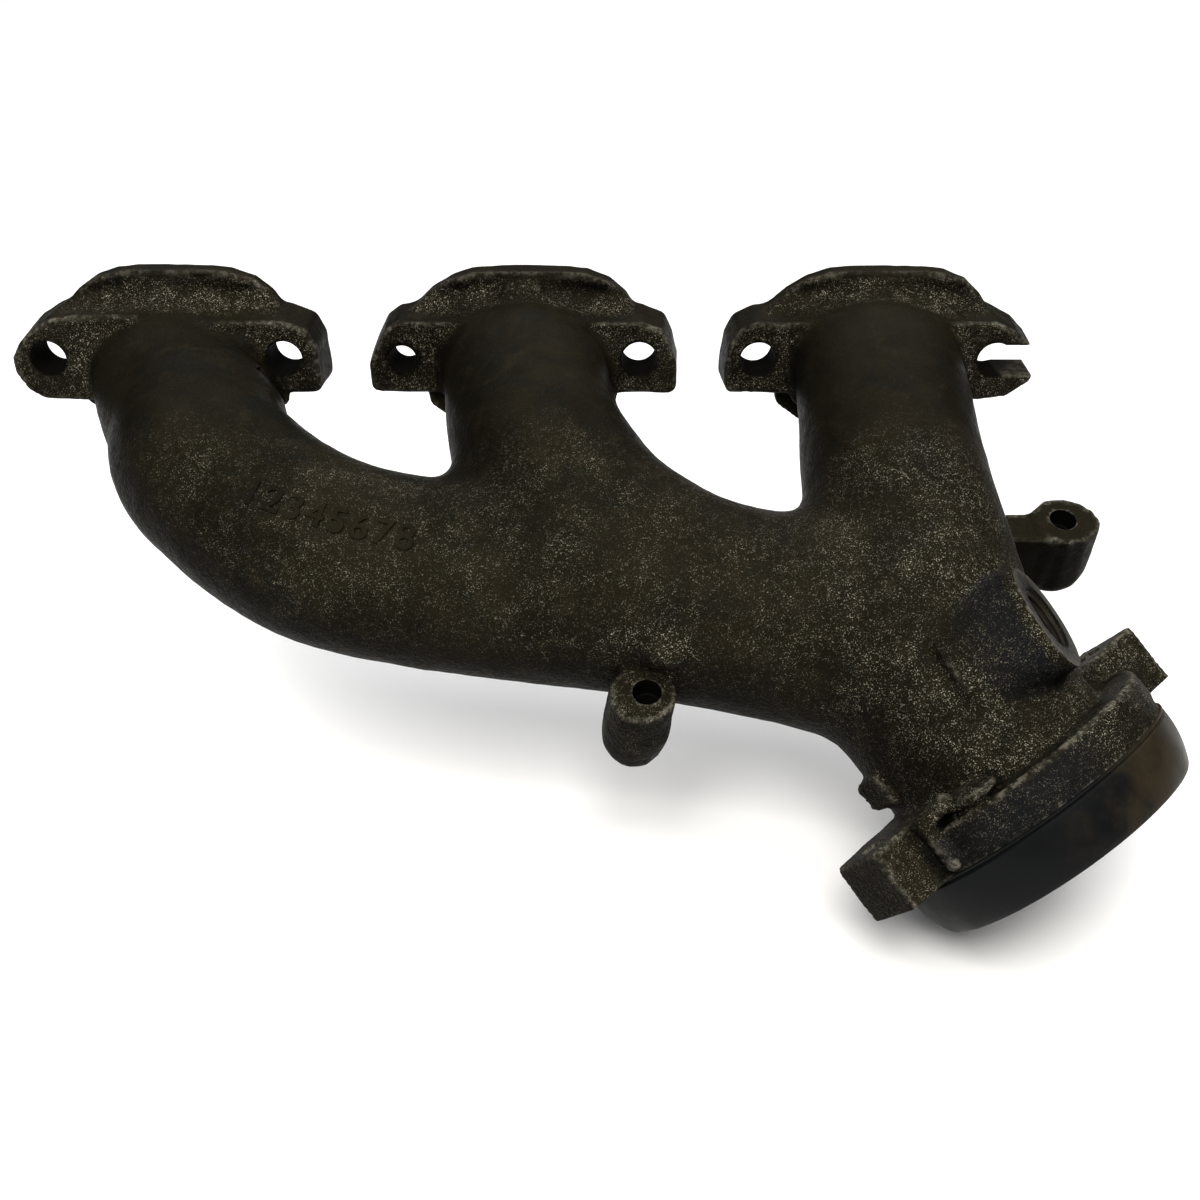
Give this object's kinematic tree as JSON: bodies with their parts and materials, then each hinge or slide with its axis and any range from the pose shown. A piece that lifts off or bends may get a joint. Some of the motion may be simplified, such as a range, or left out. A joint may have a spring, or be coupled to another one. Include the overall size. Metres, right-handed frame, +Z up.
{
  "type": "exhaust manifold",
  "caption": "Cast iron log exhaust manifold with oval ports, bolt ears, a slanted outlet with a machined seat, a sensor boss and heat shield bosses.",
  "frame": {"origin": "centre of the middle exhaust port on the machined port face", "axes": "+Y out of the port face towards the cylinder head, +X along the row of ports towards the outlet, +Z up"},
  "size_m": [0.3524, 0.1655, 0.1537],
  "materials": {
    "cast_iron": "rough sand-cast surface, oiled, dark brown-grey",
    "machined_iron": "turned, dull grey with a light oxide film"
  },
  "bodies": {
    "root": {"port_flange_front": "cast_iron", "port_flange_middle": "cast_iron", "port_flange_rear": "cast_iron", "runner_front": "cast_iron", "runner_middle": "cast_iron", "runner_rear": "cast_iron", "log_pipe": "cast_iron", "collector": "cast_iron", "collector_elbow": "cast_iron", "outlet_neck": "cast_iron", "outlet_flange": "cast_iron", "outlet_seat": "machined_iron", "oxygen_sensor_boss": "cast_iron", "shield_boss_lower": "cast_iron", "shield_boss_upper": "cast_iron"}
  },
  "joints": []
}
